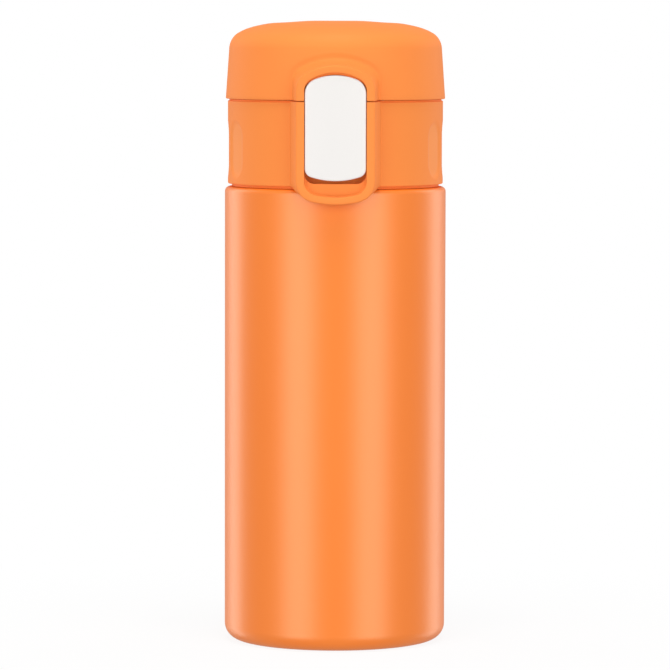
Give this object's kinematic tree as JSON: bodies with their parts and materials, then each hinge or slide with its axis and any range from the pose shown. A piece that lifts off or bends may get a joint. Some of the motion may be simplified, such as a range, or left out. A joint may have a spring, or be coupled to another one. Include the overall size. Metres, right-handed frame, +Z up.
{
  "type": "vacuum drink bottle",
  "caption": "Double-walled vacuum drink bottle with a screw-on lid base, drinking spout, hinged flip cap and a rocking front button that lets the cap go.",
  "frame": {"origin": "middle of the base, on the plane that the bottle stands on", "axes": "+Z up along the bottle's axis, -Y towards the button, +X to the right as the button is faced"},
  "size_m": [0.066, 0.0738, 0.1852],
  "materials": {
    "body_coat": "satin powder coat",
    "lid_plastic": "fine matte texture",
    "button_plastic": "satin",
    "inner_plastic": "satin",
    "silicone": "soft translucent",
    "liner_steel": "electropolished",
    "spring_steel": "bright",
    "copper": "rolled foil",
    "getter_metal": "sintered"
  },
  "bodies": {
    "bottle": {"outer_shell": "body_coat", "inner_liner": "liner_steel", "outer_bottom": "liner_steel", "base_cover": "body_coat", "seal_bead": "getter_metal", "copper_foil": "copper", "getter": "getter_metal", "getter_clip": "liner_steel"},
    "seal": {"mouth_seal": "silicone"},
    "lid_base": {"collar": "lid_plastic", "stopper": "inner_plastic", "spout": "inner_plastic", "spout_gasket": "silicone", "hinge_pin": "spring_steel", "hinge_spring": "spring_steel", "button_pin": "spring_steel", "button_spring": "spring_steel"},
    "cap": {"cap_shell": "lid_plastic", "cap_inner_cover": "inner_plastic", "cap_seal": "silicone", "catch_plate": "spring_steel"},
    "button": {"button": "button_plastic"}
  },
  "joints": [
    {"name": "lid_rise", "type": "slide", "parent": "bottle", "child": "seal", "axis": [0, 0, 1], "range_m": [0, 0.0201]},
    {"name": "lid_turn", "type": "hinge", "parent": "seal", "child": "lid_base", "pos_m": [0, 0, 0.1435], "axis": [0, 0, 1], "range_deg": [0, 1440]},
    {"name": "cap_open", "type": "hinge", "parent": "lid_base", "child": "cap", "pos_m": [0, 0.0342, 0.1604], "axis": [-1, 0, 0], "range_deg": [0, 115], "deforming": ["hinge_spring"]},
    {"name": "button_press", "type": "hinge", "parent": "lid_base", "child": "button", "pos_m": [0, -0.0336, 0.156], "axis": [1, 0, 0], "range_deg": [0, 8], "stiffness_Nm_per_rad": 0.3, "springref_deg": -4.01, "deforming": ["button_spring"]}
  ],
  "couplings": [
    {"joint": "lid_rise", "follows": "lid_turn", "m_per_rad": 0.00079577}
  ]
}
